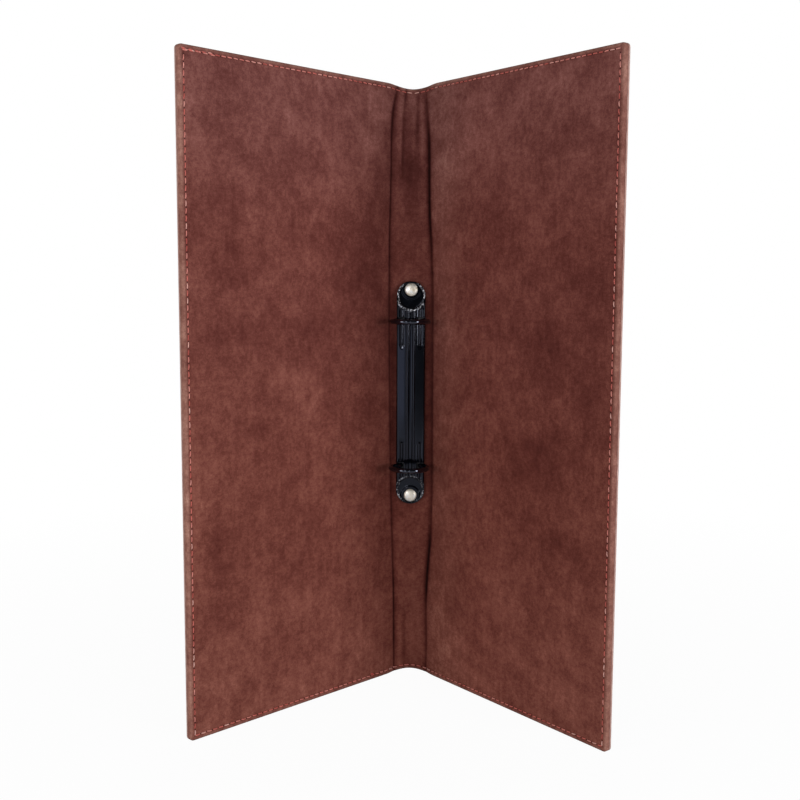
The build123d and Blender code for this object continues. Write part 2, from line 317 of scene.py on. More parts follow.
def cover_point(across, z, depth, side):
    """Points of the cover, for arrays of places."""
    across, z, depth = np.broadcast_arrays(*[np.asarray(v, float) for v in (across, z, depth)])
    x = np.minimum(across, STRAIGHT_FROM)
    past = np.maximum(across - STRAIGHT_FROM, 0)
    y = lining_face(x, z, side)
    step = 0.01
    slope = (lining_face(x + step, z, side) - lining_face(x - step, z, side)) / (2 * step)
    slope = np.where(past > 0, -tan(REST_ANGLE), slope)
    length = np.sqrt(1 + slope ** 2)
    px = x + past * cos(REST_ANGLE) - depth * slope / length
    py = y - past * sin(REST_ANGLE) + depth / length
    fade_low = np.clip(1 - z / DIP_FADE, 0, 1) ** 2
    fade_high = np.clip(1 - (COVER_HEIGHT - z) / DIP_FADE, 0, 1) ** 2
    pz = z + end_dip(across) * (fade_low - fade_high)
    return np.stack([side * px, py, pz], axis=-1)


FORE_EDGE = STRAIGHT_FROM + LEAF_REACH - (
    STRAIGHT_FROM - FOLD_AXIS[0] - (LINING_FACE - FOLD_AXIS[1]) * sin(REST_ANGLE)) / cos(REST_ANGLE)


def edge_place(across, z, start, inset):
    """A point of the outline, nominally at the inset start, drawn in by another inset."""
    upper = z > COVER_HEIGHT / 2
    rise = COVER_HEIGHT - z if upper else z
    tiny = 1e-6
    round_from = FORE_EDGE - LEAF_CORNER
    if rise <= start + tiny and across <= round_from + tiny:
        place = (across, inset)
    elif rise >= LEAF_CORNER - tiny:
        place = (FORE_EDGE - inset, rise)
    else:
        if rise <= start + tiny:
            turn = 45 * (1 - (FORE_EDGE - start - across) / (LEAF_CORNER - start))
        else:
            turn = 45 + 45 * (rise - start) / (LEAF_CORNER - start)
        reach = LEAF_CORNER - inset
        place = (round_from + reach * sin(radians(turn)), LEAF_CORNER - reach * cos(radians(turn)))
    return (place[0], COVER_HEIGHT - place[1] if upper else place[1])


# Rows and columns of the cover's mesh, closer by its edges and creases
ROWS_BY_END = (2.3, 2.6, 3.0, 3.6, 5, 7.5)
SPINE_SHARES = (0, 0.06, 0.16, 0.28, 0.4, 0.52, 0.64, 0.76, 0.88)
STEPS_BY_CREASE = (-1.2, -0.8, -0.5, -0.3, -0.15, 0, 0.15, 0.3, 0.5, 0.8, 1.2, 1.7, 2.3)
BEND_SHARES = (0.2, 0.4, 0.6, 0.8)
LEAF_PLACES = (STRAIGHT_FROM, 17, 19, 22, 26)
STEPS_BY_EDGE = (5, 3.6, 3.0, 2.6, 2.3)


def heights(start):
    near = [start, (start + LEAF_CORNER) / 2, LEAF_CORNER, *ROWS_BY_END]
    middle = list(np.arange(10.0, COVER_HEIGHT - 9.9, 3.0))
    return np.array(near + middle + [COVER_HEIGHT - z for z in reversed(near)])


def columns(start):
    """Columns of the mesh: shares of the spine, steps round the crease, shares of the bend
    beside it, then the leaf."""
    spine = [("share", s) for s in SPINE_SHARES]
    crease = [("crease", d) for d in STEPS_BY_CREASE]
    bend = [("bend", s) for s in BEND_SHARES]
    leaf = [("leaf", a) for a in (*LEAF_PLACES, *np.arange(30.0, FORE_EDGE - 6, 4.0))]
    last = [("leaf", FORE_EDGE - d) for d in
            (*STEPS_BY_EDGE, LEAF_CORNER, (LEAF_CORNER + start) / 2, start)]
    return spine + crease + bend + leaf + last


def column_place(column, z, side):
    kind, value = column
    if kind == "leaf":
        return value
    crease = float(crease_place(z, side))
    first, last = crease + STEPS_BY_CREASE[0], crease + STEPS_BY_CREASE[-1]
    if kind == "bend":
        return last + (STRAIGHT_FROM - last) * value
    return first * value if kind == "share" else crease + value


# How wide each crease is: (height, half width)
CREASE_WIDTH = {
    -1: ((0, 0.42), (290, 0.42), (310, 0.7), (328, 0.8)),
    1: ((0, 0.5), (40, 0.6), (52, 1.0), (82, 1.0), (95, 0.6), (225, 0.6), (255, 0.8),
        (305, 0.85), (328, 0.6)),
}
CREASE_DEPTH = 0.45
# Painted shade in each crease, how dark: (height, share)
CREASE_PAINTED_SHADE = {
    -1: ((0, 0.6), (15, 0.8), (52, 0.85), (70, 0.6), (110, 0.55), (200, 0.6), (225, 0.7),
         (290, 0.8), (315, 0.8), (328, 0.5)),
    1: ((0, 0.45), (38, 0.6), (48, 0.95), (75, 0.95), (88, 0.6), (210, 0.55), (236, 0.7),
        (256, 0.95), (300, 0.9), (316, 0.5), (328, 0.3)),
}

# Soft folds in the spine's lining: place and lean across, spread, from height, to height,
# depth. The first two lie below the head, the third above the foot.
SOFT_FOLDS = (
    (-3.7, 0.042, 0.75, 262, 345, 0.8),
    (2.6, 0.0, 0.9, 292, 345, 0.6),
    (-3.4, 0.0, 0.8, -16, 44, 0.55),
)

# Marks of painted light and shade, and where hands, rings and paper have laid the nap: place
# across (left is negative), height, half width, half height, how much paler or darker. Many are
# painted shade: the shadow beside the housing, the darker spine between the leaves, the shade by
# the left crease and in the right leaf's middle. The pale rolls below the head are painted light.
MARKS_OF_NAP_LIGHT_AND_SHADE = (
    (-74, 166, 11, 15, 0.3), (-62, 158, 8, 14, 0.12), (-84, 182, 4, 9, 0.16),
    (-38, 263, 8, 2.0, 0.12), (-120, 137, 14, 24, 0.2), (-73, 196, 30, 12, -0.2),
    (-33, 226, 16, 26, -0.24), (-35, 290, 16, 20, 0.14), (-34, 48, 16, 24, 0.16),
    (-80, 76, 13, 12, -0.18), (-116, 296, 14, 14, -0.12), (-125, 97, 9, 10, -0.1),
    (-127, 62, 10, 8, -0.13), (-114, 245, 3.5, 13, -0.14), (-134, 16, 4, 7, -0.2),
    (20, 291, 11, 26, 0.3), (42, 289, 14, 24, 0.16), (20, 96, 9, 14, 0.18),
    (66, 247, 16, 16, -0.15), (69, 136, 12, 24, -0.14), (97, 138, 15, 16, -0.26),
    (114, 141, 12, 12, -0.16), (90, 192, 16, 18, -0.18), (99, 95, 18, 6, -0.18),
    (97, 285, 13, 5, -0.14), (118, 287, 14, 2.2, -0.12), (110, 249, 16, 20, -0.1),
    (70, 74, 12, 12, 0.14), (126, 168, 8, 5, -0.12), (22, 199, 6, 2.4, 0.2),
    (21, 119.5, 9, 1.8, 0.24), (-17, 199, 5, 2.4, 0.2), (-17, 119.8, 8, 1.7, 0.24),
    (-17, 116.8, 7, 1.5, -0.2), (21, 116.4, 8, 1.5, -0.15), (0, 322, 5, 6, 0.1),
    (-1, 262, 7, 24, -0.2), (0, 292, 7, 28, -0.28), (-10, 161, 2.6, 62, -0.36),
    (10.2, 161, 3, 62, -0.36), (0, 100, 9, 12, -0.2), (0, 22, 8, 14, 0.14),
    (105, 175, 38, 66, -0.15), (-21, 150, 9, 100, -0.15), (-21, 300, 8, 16, 0.3),
    (-125, 236, 14, 24, -0.17), (-126, 90, 12, 24, -0.12), (-6.3, 296, 1.4, 28, 0.5),
    (0.6, 304, 1.4, 20, 0.3), (5.2, 302, 1.2, 18, 0.3), (-6.3, 16, 1.4, 18, 0.25),
    (20, 14, 12, 14, 0.16), (131, 200, 12, 60, -0.2), (110, 92, 12, 16, -0.2),
    (-21, 239, 8, 20, -0.2), (0, 282, 7, 16, -0.15), (20, 240, 8, 30, 0.2),
    (27, 14, 12, 16, 0.2), (-60, 20, 14, 14, -0.06),
)
# Painted light beside the right crease, and the nap rubbed paler towards the fore-edges: place
# across, half width, how much
PAINTED_LIGHT_BY_CREASE = (19.5, 12.5, 0.38)
RUBBED = {-1: (136, 9, 0.15), 1: (136, 6, 0.04)}
# Painted shade, how dark the suede is drawn: edge of the crease's line, strip beside it (share,
# place, width), soft folds, seam, and foot (share, height)
LINE_EDGE = 0.12
BESIDE_CREASE = (0.4, 1.0, 1.1)
FOLD_DARK = 0.72
SEAM_DARK = 0.22
FOOT_DARK = (0.4, 1.1)


def soft_folds(x, z):
    depth = 0 * x
    for place, lean, spread, low, high, deep in SOFT_FOLDS:
        along = np.clip((z - low) / 14, 0, 1) * np.clip((high - z) / 14, 0, 1)
        away = (x - place - lean * (z - COVER_HEIGHT)) / spread
        depth = depth + deep * along * np.exp(-away ** 2)
    return depth


def from_outline(across, z):
    return np.minimum(FORE_EDGE - across, np.minimum(z, COVER_HEIGHT - z))


def seam_pull(across, z):
    """The seam pulls the face in along its line."""
    return np.exp(-((from_outline(across, z) - SEAM_INSET) / 0.5) ** 2)


def creases(across, z, side):
    """Depth of the creases, soft folds and seam pressed in the suede's face."""
    wide = np.interp(z, *zip(*CREASE_WIDTH[side]))
    line = np.exp(-((across - crease_place(z, side)) / wide) ** 2)
    return CREASE_DEPTH * line + soft_folds(side * across, z) + SEAM_SINK * seam_pull(across, z)


def nap_marks_and_painted_light(across, z, side):
    """How much paler (over 1) or darker (under 1) the suede is drawn at a place: the nap's marks and
    rubbing, with painted shade in the creases, soft folds, seam and foot, and the painted light and shade
    among the marks.
    """
    x = side * across
    shade = 1.0 + 0 * x
    for place, level, wide, tall, much in MARKS_OF_NAP_LIGHT_AND_SHADE:
        reach = ((x - place) / wide) ** 2 + ((z - level) / tall) ** 2
        shade = shade + much * np.exp(-reach)
    place, wide, much = RUBBED[side]
    shade = shade + much * np.exp(-(np.clip(place - across, 0, None) / wide) ** 2)
    crease = crease_place(z, side)
    # painted light beside the right crease
    if side > 0:
        place, wide, much = PAINTED_LIGHT_BY_CREASE
        shade = shade + much * np.exp(-((across - place) / wide) ** 2) * (across > crease)
    # painted shade in and beside the crease, in the soft folds, along the seam and at the foot
    off = across - crease
    strong = np.interp(z, *zip(*CREASE_PAINTED_SHADE[side]))
    wide = np.interp(z, *zip(*CREASE_WIDTH[side])) + LINE_EDGE
    line = strong * np.exp(-(off / wide) ** 2)
    share, place, wide = BESIDE_CREASE
    beside = share * strong * np.exp(-((off + place) / wide) ** 2)
    share, height = FOOT_DARK
    foot = share * np.exp(-(z / height) ** 2)
    return (shade * (1 - line) * (1 - beside) * (1 - FOLD_DARK * soft_folds(x, z))
            * (1 - SEAM_DARK * seam_pull(across, z)) * (1 - foot))


def hide_groove(across, z, side):
    """Groove pressed along the fold on the outside."""
    depth, place, wide = HIDE_GROOVE
    return -depth * np.exp(-((across - corner_place(z, side) + place) / wide) ** 2)


def cover_sheet(name, side, rings, far_depth, dents, materials, through):
    """Half of a hide, from the middle of the spine to the fore-edge, as one closed shell.

    The first ring is the edge of the face that shows, and the last the edge of the other. The
    dents go through the whole hide or are pressed in its face only. The edge takes the last
    material."""
    start, face_depth = rings[0]
    cols, rows = columns(start), heights(start)
    last_col, last_row = len(cols) - 1, len(rows) - 1
    places, depths, pressed = [], [], []

    def keep(across, z, depth, press):
        places.append((across, z))
        depths.append(depth)
        pressed.append(press)
        return len(places) - 1

    def edge_of(i, j, inset):
        return edge_place(column_place(cols[i], rows[j], side), rows[j], start, inset)

    loop = [(i, 0) for i in range(last_col + 1)]
    loop += [(last_col, j) for j in range(1, last_row + 1)]
    loop += [(i, last_row) for i in range(last_col - 1, -1, -1)]
    on_edge = set(loop)
    near = {}
    for i in range(last_col + 1):
        for j in range(last_row + 1):
            if (i, j) in on_edge:
                near[i, j] = keep(*edge_of(i, j, start), face_depth, 1)
            else:
                near[i, j] = keep(column_place(cols[i], rows[j], side), rows[j], face_depth, 1)
    ring_rows = [[near[key] for key in loop]]
    for inset, depth in rings[1:]:
        ring_rows.append([keep(*edge_of(i, j, inset), depth, 0) for i, j in loop])
    far = dict(zip(loop, ring_rows[-1]))
    for i in range(last_col + 1):
        for j in range(last_row + 1):
            if (i, j) not in far:
                far[i, j] = keep(column_place(cols[i], rows[j], side), rows[j], far_depth, 0)

    faces, slots = [], []
    for grid in (near, far):
        for i in range(last_col):
            for j in range(last_row):
                faces.append((grid[i, j], grid[i + 1, j], grid[i + 1, j + 1], grid[i, j + 1]))
                slots.append(0)
    for one, two in zip(ring_rows, ring_rows[1:]):
        for k in range(len(loop) - 1):
            faces.append((one[k], one[k + 1], two[k + 1], two[k]))
            slots.append(len(materials) - 1)
    for j in range(last_row):
        faces.append((near[0, j], near[0, j + 1], far[0, j + 1], far[0, j]))
        slots.append(0)
    for end in (0, -1):
        faces.append(tuple(row[end] for row in ring_rows))
        slots.append(0)

    places, depths, pressed = np.array(places), np.array(depths, float), np.array(pressed)
    across, z = places[:, 0], places[:, 1]
    depths = depths + (1 if through else pressed) * dents(across, z, side)
    points = cover_point(across, z, depths, side)
    stretch = 1 / cos(REST_ANGLE) - 1
    flat = across + stretch * np.clip(across - CORNER_CROSS, 0, STRAIGHT_FROM - CORNER_CROSS)
    attributes = {
        "hide_place": np.stack([side * flat, z, depths], axis=1),
        "from_edge": from_outline(across, z),
        # painted light and shade, with the nap's marks
        "nap_marks_and_painted_light": nap_marks_and_painted_light(across, z, side),
    }
    return finish_mesh(name, points, faces, materials, slots, attributes, sharp=50)


def quarter_round(radius, face_depth, way):
    """Insets and depths of a rounded edge, from the face over to the side wall."""
    turns = [radians(18 * k) for k in range(6)]
    return [(radius * (1 - sin(t)), face_depth + way * radius * (1 - cos(t))) for t in turns]


def across_fold(piece, side):
    """Let a piece bend from spine to leaf about the fold's axis."""
    half = REST_ANGLE / 2
    step = Vector((side * cos(half), -sin(half), 0)) * BEND_REACH
    axis = Vector((side * FOLD_AXIS[0], FOLD_AXIS[1], 0))
    leaf = "right_leaf" if side > 0 else "left_leaf"
    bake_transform(piece, "spine", leaf, start=tuple((axis - step) * MM), end=tuple((axis + step) * MM))


# Materials

def new_material(name):
    """An empty material and its tree of nodes."""
    material = bpy.data.materials.new(name)
    material.use_nodes = True
    material.node_tree.nodes.clear()
    return material, material.node_tree


def lay_surface(tree, looks, relief=None):
    """Close a material with its looks, by socket, and a fine relief of (pattern, strength,
    depth in millimetres)."""
    if relief:
        pattern, strength, depth = relief
        looks["Normal"] = add_node(tree, "ShaderNodeBump", {
            "Height": pattern, "Strength": strength, "Distance": depth * MM})
    skin = add_node(tree, "ShaderNodeBsdfPrincipled", looks)
    add_node(tree, "ShaderNodeOutputMaterial", {"Surface": skin})


def patches(tree, place, size, detail=2.0, roughness=0.5, stretch=(1, 1, 1)):
    """Soft irregular patches, from 0 to 1, about this size across in the units of the place."""
    scaled = add_node(tree, "ShaderNodeMapping", {
        "Vector": place, "Scale": tuple(s / size for s in stretch)})
    return add_node(tree, "ShaderNodeTexNoise", {
        "Vector": scaled, "Scale": 1.0, "Detail": detail, "Roughness": roughness})


def napped_suede():
    """Suede with a short nap: dull red-brown, softly mottled, warmer at the foot and paler and greyer at the
    head, a painted sheen for light from above. Where the mottling and the painted shade in creases and folds
    darken it, it turns darker and redder."""
    material, tree = new_material("napped_suede")
    place = add_node(tree, CARRIED, out="Vector", attribute_name="hide_place")
    edge = add_node(tree, CARRIED, out="Fac", attribute_name="from_edge")
    # painted light and shade, with the nap's marks, carried by the mesh
    shade = add_node(tree, CARRIED, out="Fac", attribute_name="nap_marks_and_painted_light")
    height = add_node(tree, "ShaderNodeSeparateXYZ", {"Vector": place}, "Y")
    rise = add_node(tree, MATH, {0: height, 1: COVER_HEIGHT}, operation="DIVIDE")
    # painted sheen: the head's stop is paler and greyer, for light from above; the foot's stop is warmer
    ground = add_node(tree, RAMP, {0: rise}, stops=(
        (0.0, "#794439"), (0.3, "#703c32"), (0.7, "#6e3b33"), (1.0, "#74443e")))
    nap = patches(tree, place, 0.7, 2.0, 0.6)
    grain = patches(tree, place, 2.0, 3.0, 0.65)
    for pattern, depth in ((patches(tree, place, 34, 3.0, 0.55), 0.15),
                           (patches(tree, place, 12, 3.0, 0.6), 0.15),
                           (patches(tree, place, 4.0, 3.0, 0.6, (1.0, 0.55, 1.0)), 0.15),
                           (grain, 0.17), (nap, 0.13)):
        change = add_node(tree, EASE, {
            "Value": pattern, **NOISE_SPAN, "To Min": 1 - depth, "To Max": 1 + depth},
            interpolation_type="SMOOTHSTEP")
        shade = add_node(tree, MATH, {0: shade, 1: change}, operation="MULTIPLY")
    # painted light: the margin between the seam and the edge is paler, where the suede rolls over towards
    # the lamps
    margin = add_node(tree, EASE, {
        "Value": edge, "From Min": 2.3, "From Max": 0.6, "To Min": 0.0, "To Max": 0.75},
        interpolation_type="SMOOTHSTEP")
    ground = add_node(tree, MIX, {0: margin, 6: ground, 7: "#8a5e52"}, 2, data_type="RGBA")
    tone = add_node(tree, "ShaderNodeCombineColor", {
        part: add_node(tree, MATH, {0: shade, 1: power}, operation="POWER")
        for part, power in (("Red", 0.9), ("Green", 1.28), ("Blue", 1.28))})
    ground = add_node(tree, MIX, {0: 1.0, 6: ground, 7: tone}, 2,
                      data_type="RGBA", blend_type="MULTIPLY")
    pile = add_node(tree, MATH, {0: nap, 1: 0.5, 2: grain}, operation="MULTIPLY_ADD")
    lay_surface(tree, {
        "Base Color": ground, "Roughness": 0.92, "Specular IOR Level": 0.15,
        "Sheen Weight": 0.06, "Sheen Roughness": 0.5, "Sheen Tint": "#c99b90"}, (pile, 0.3, 0.3))
    return material


def plain_hide():
    """Smooth cowhide outside: a satin brown with fine pores."""
    material, tree = new_material("plain_hide")
    place = add_node(tree, CARRIED, out="Vector", attribute_name="hide_place")
    ground = add_node(tree, RAMP, {0: patches(tree, place, 45, 3.0, 0.5)},
                      stops=((0.3, "#5a352d"), (0.7, "#6b4037")))
    pores = add_node(tree, "ShaderNodeTexVoronoi", {"Vector": place, "Scale": 1 / 1.3},
                     "Distance", feature="DISTANCE_TO_EDGE")
    grain = add_node(tree, RAMP, {0: pores}, stops=((0.0, "#b4aca9"), (0.12, "#ffffff")))
    ground = add_node(tree, MIX, {0: 0.6, 6: ground, 7: grain}, 2,
                      data_type="RGBA", blend_type="MULTIPLY")
    gloss = add_node(tree, EASE, {
        "Value": patches(tree, place, 18), **NOISE_SPAN, "To Min": 0.53, "To Max": 0.58},
        interpolation_type="SMOOTHSTEP")
    shallow = add_node(tree, MATH, {0: pores, 1: 0.14}, operation="MINIMUM")
    lay_surface(tree, {"Base Color": ground, "Roughness": gloss, "Specular IOR Level": 0.45},
                (shallow, 0.5, 0.5))
    return material


def cut_hide():
    """Raw cut edge of the hide: paler, pinkish and fibrous."""
    material, tree = new_material("cut_hide")
    place = add_node(tree, CARRIED, out="Vector", attribute_name="hide_place")
    fibres = patches(tree, place, 1.6, 3.0, 0.7, (1.0, 0.4, 3.0))
    ground = add_node(tree, RAMP, {0: fibres}, stops=((0.3, "#9c7065"), (0.7, "#bd9b90")))
    lay_surface(tree, {"Base Color": ground, "Roughness": 0.85}, (fibres, 0.4, 0.2))
    return material


def coral_thread():
    """Twisted coral linen thread, soft, and paler on some stitches than on others."""
    material, tree = new_material("coral_thread")
    place = add_node(tree, "ShaderNodeTexCoord", out="Object")
    fibres = patches(tree, place, 0.35 * MM, 2.0, 0.6)
    tint = add_node(tree, CARRIED, out="Fac", attribute_name="stitch_tint")
    ground = add_node(tree, RAMP, {0: tint}, stops=(
        (0.0, "#c1564b"), (0.4, "#dc7366"), (0.75, "#e69082"), (1.0, "#eebbad")))
    twist = add_node(tree, RAMP, {0: fibres}, stops=((0.3, "#b9b0ae"), (0.7, "#ffffff")))
    ground = add_node(tree, MIX, {0: 0.7, 6: ground, 7: twist}, 2,
                      data_type="RGBA", blend_type="MULTIPLY")
    lay_surface(tree, {"Base Color": ground, "Roughness": 0.7}, (fibres, 0.3, 0.1))
    return material


def needle_hole_shade():
    """Painted shade in the needle's hole: a dark dimple where the needle went through and the thread pulls
    the suede in.
    """
    material, tree = new_material("needle_hole_shade")
    lay_surface(tree, {"Base Color": "#3e201e", "Roughness": 0.95, "Specular IOR Level": 0.1})
    return material


def black_lacquer(name, shine, dull):
    """Stove-enamelled black on pressed steel: near black, glossy, faintly orange-peeled, and
    chipped to bright steel in specks where the piece is marked for it. The specks are partly wear and partly
    a painted highlight on rims and edges."""
    material, tree = new_material(name)
    place = add_node(tree, "ShaderNodeTexCoord", out="Object")
    peel = patches(tree, place, 1.4 * MM, 2.0, 0.5)
    dust = patches(tree, place, 5.0 * MM, 3.0, 0.6)
    glinting_wear = add_node(tree, CARRIED, out="Fac", attribute_name="wear_and_glint")
    chips = add_node(tree, EASE, {
        "Value": patches(tree, place, 0.9 * MM, 2.0, 0.6), **NOISE_SPAN,
        "To Min": -1.5, "To Max": 1.9}, interpolation_type="SMOOTHSTEP")
    chips = add_node(tree, MATH, {0: chips, 1: 0.0}, operation="MAXIMUM")
    bare_and_glint = add_node(tree, MATH, {0: glinting_wear, 1: chips}, operation="MULTIPLY", use_clamp=True)
    ground = add_node(tree, RAMP, {0: dust}, stops=((0.3, "#020306"), (0.8, "#06070c")))
    ground = add_node(tree, MIX, {0: bare_and_glint, 6: ground, 7: "#eceef4"}, 2, data_type="RGBA")
    metal = add_node(tree, MATH, {0: bare_and_glint, 1: 0.3}, operation="MULTIPLY")
    haze = add_node(tree, EASE, {
        "Value": dust, **NOISE_SPAN, "To Min": dull / 2, "To Max": dull},
        interpolation_type="SMOOTHSTEP")
    gloss = add_node(tree, MATH, {0: bare_and_glint, 1: 0.2, 2: haze}, operation="MULTIPLY_ADD")
    lay_surface(tree, {
        "Base Color": ground, "Metallic": metal, "Roughness": gloss, "IOR": 1.5,
        "Specular IOR Level": shine, "Specular Tint": "#e2e8ff"}, (peel, 0.1, 0.04))
    return material


def blade_steel():
    """Spring steel under thin black lacquer, duller than the housing."""
    material, tree = new_material("blade_steel")
    place = add_node(tree, "ShaderNodeTexCoord", out="Object")
    rolled = patches(tree, place, 2.0 * MM, 2.0, 0.5, (4.0, 4.0, 0.4))
    ground = add_node(tree, RAMP, {0: rolled}, stops=((0.3, "#0a0b0e"), (0.8, "#17191e")))
    lay_surface(tree, {"Base Color": ground, "Roughness": 0.4})
    return material


def worn_nickel():
    """Nickel-plated rivet, worn warm and blotchy, with a couple of rust freckles."""
    material, tree = new_material("worn_nickel")
    place = add_node(tree, "ShaderNodeTexCoord", out="Object")
    tarnish = patches(tree, place, 2.4 * MM, 3.0, 0.6)
    ground = add_node(tree, RAMP, {0: tarnish}, stops=(
        (0.3, "#e6d9c0"), (0.5, "#fbf4e6"), (0.7, "#ffffff")))
    rust = add_node(tree, RAMP, {0: patches(tree, place, 1.1 * MM, 1.0, 0.5)},
                    stops=((0.72, "#000000"), (0.78, "#ffffff")))
    ground = add_node(tree, MIX, {0: rust, 6: ground, 7: "#7c5733"}, 2, data_type="RGBA")
    gloss = add_node(tree, EASE, {
        "Value": tarnish, **NOISE_SPAN, "To Min": 0.46, "To Max": 0.34},
        interpolation_type="SMOOTHSTEP")
    lay_surface(tree, {"Base Color": ground, "Metallic": 0.6, "Roughness": gloss},
                (tarnish, 0.15, 0.1))
    return material


def grey_board():
    """Bookbinder's fibreboard: grey-brown and matt, with pressed fibres."""
    material, tree = new_material("grey_board")
    place = add_node(tree, "ShaderNodeTexCoord", out="Object")
    fibres = patches(tree, place, 2.0 * MM, 3.0, 0.7)
    ground = add_node(tree, RAMP, {0: fibres}, stops=((0.3, "#85786a"), (0.7, "#9c9082")))
    lay_surface(tree, {"Base Color": ground, "Roughness": 0.9})
    return material


SUEDE = napped_suede()
LEATHER = plain_hide()
RAW_EDGE = cut_hide()
THREAD_COLOUR = coral_thread()
HOLE_SHADE = needle_hole_shade()
LACQUER = black_lacquer("black_lacquer", 0.33, 0.13)
RING_LACQUER = black_lacquer("ring_lacquer", 1.0, 0.08)     # the rings are polished brighter
STEEL = blade_steel()
NICKEL = worn_nickel()
GREY_BOARD = grey_board()


# Cover pieces

def wrapped_lining(side, word):
    """Suede over the boards' faces, turned over their edges to the hide."""
    wall_end = LINING + BOARD - SEAM_GAP / 2
    rings = quarter_round(WRAP_ROUND, 0.0, 1)
    rings += [(0.0, WRAP_TURN), (0.0, wall_end), (LINING, wall_end), (LINING + 0.15, LINING)]
    piece = cover_sheet(word + "_suede_lining", side, rings, LINING, creases, [SUEDE], False)
    across_fold(piece, side)
    nodes = [word + "_lining", word + "_lining_hinge"]
    if side < 0:
        nodes.append("spine_lining")
    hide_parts(*nodes)


def outer_hide(side, word):
    """The cover's hide, from the middle of the spine to the fore-edge, with the fold's groove."""
    front = LINING + BOARD + SEAM_GAP / 2
    rings = quarter_round(CUT_ROUND, COVER_THICK, -1)
    rings += [(0.0, front), (0.6, front)]
    piece = cover_sheet(word + "_outer_hide", side, rings, front, hide_groove,
                        [LEATHER, RAW_EDGE], True)
    across_fold(piece, side)
    nodes = [word + "_outer_leather", word + "_outer_hinge"]
    if side < 0:
        nodes.append("spine_outer_leather")
    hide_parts(*nodes)


BOARD_LAYERS = (LINING + 0.02, LINING + BOARD - 0.05)


def leaf_board(side, word):
    """A leaf's board, which stops short of the fold so that the lining can bend beside it."""
    inset, cut = LINING + 0.2, 0.7
    far, top = FORE_EDGE - inset, COVER_HEIGHT - inset
    outline = ((BOARD_FROM, inset), (far - cut, inset), (far, inset + cut),
               (far, top - cut), (far - cut, top), (BOARD_FROM, top))
    layers = [[cover_point(a, z, depth, side) for a, z in outline] for depth in BOARD_LAYERS]
    piece = finish_mesh(word + "_leaf_board", *capped_skin(layers), [GREY_BOARD])
    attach(piece, word + "_leaf")
    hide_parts(word + "_board")


def spine_board():
    """The spine's stiffener, which follows the belly of the spine's ends."""
    rows = np.linspace(STIFFENER_INSET, COVER_HEIGHT - STIFFENER_INSET, 60)
    shares = np.linspace(-STIFFENER_SHARE, STIFFENER_SHARE, 13)
    points, faces = [], []
    for depth in BOARD_LAYERS:
        for z in rows:
            for share in shares:
                side = 1 if share >= 0 else -1
                points.append(cover_point(abs(share) * corner_place(z, side), z, depth, side))
    wide, tall = len(shares), len(rows)

    def at(layer, j, i):
        return layer * wide * tall + j * wide + i

    for j in range(tall - 1):
        for i in range(wide - 1):
            for layer in (0, 1):
                faces.append((at(layer, j, i), at(layer, j, i + 1),
                              at(layer, j + 1, i + 1), at(layer, j + 1, i)))
        for i in (0, wide - 1):
            faces.append((at(0, j, i), at(0, j + 1, i), at(1, j + 1, i), at(1, j, i)))
    for i in range(wide - 1):
        for j in (0, tall - 1):
            faces.append((at(0, j, i), at(0, j, i + 1), at(1, j, i + 1), at(1, j, i)))
    piece = finish_mesh("spine_board", points, faces, [GREY_BOARD])
    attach(piece, "spine")
    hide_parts("spine_stiffener")


# Seam

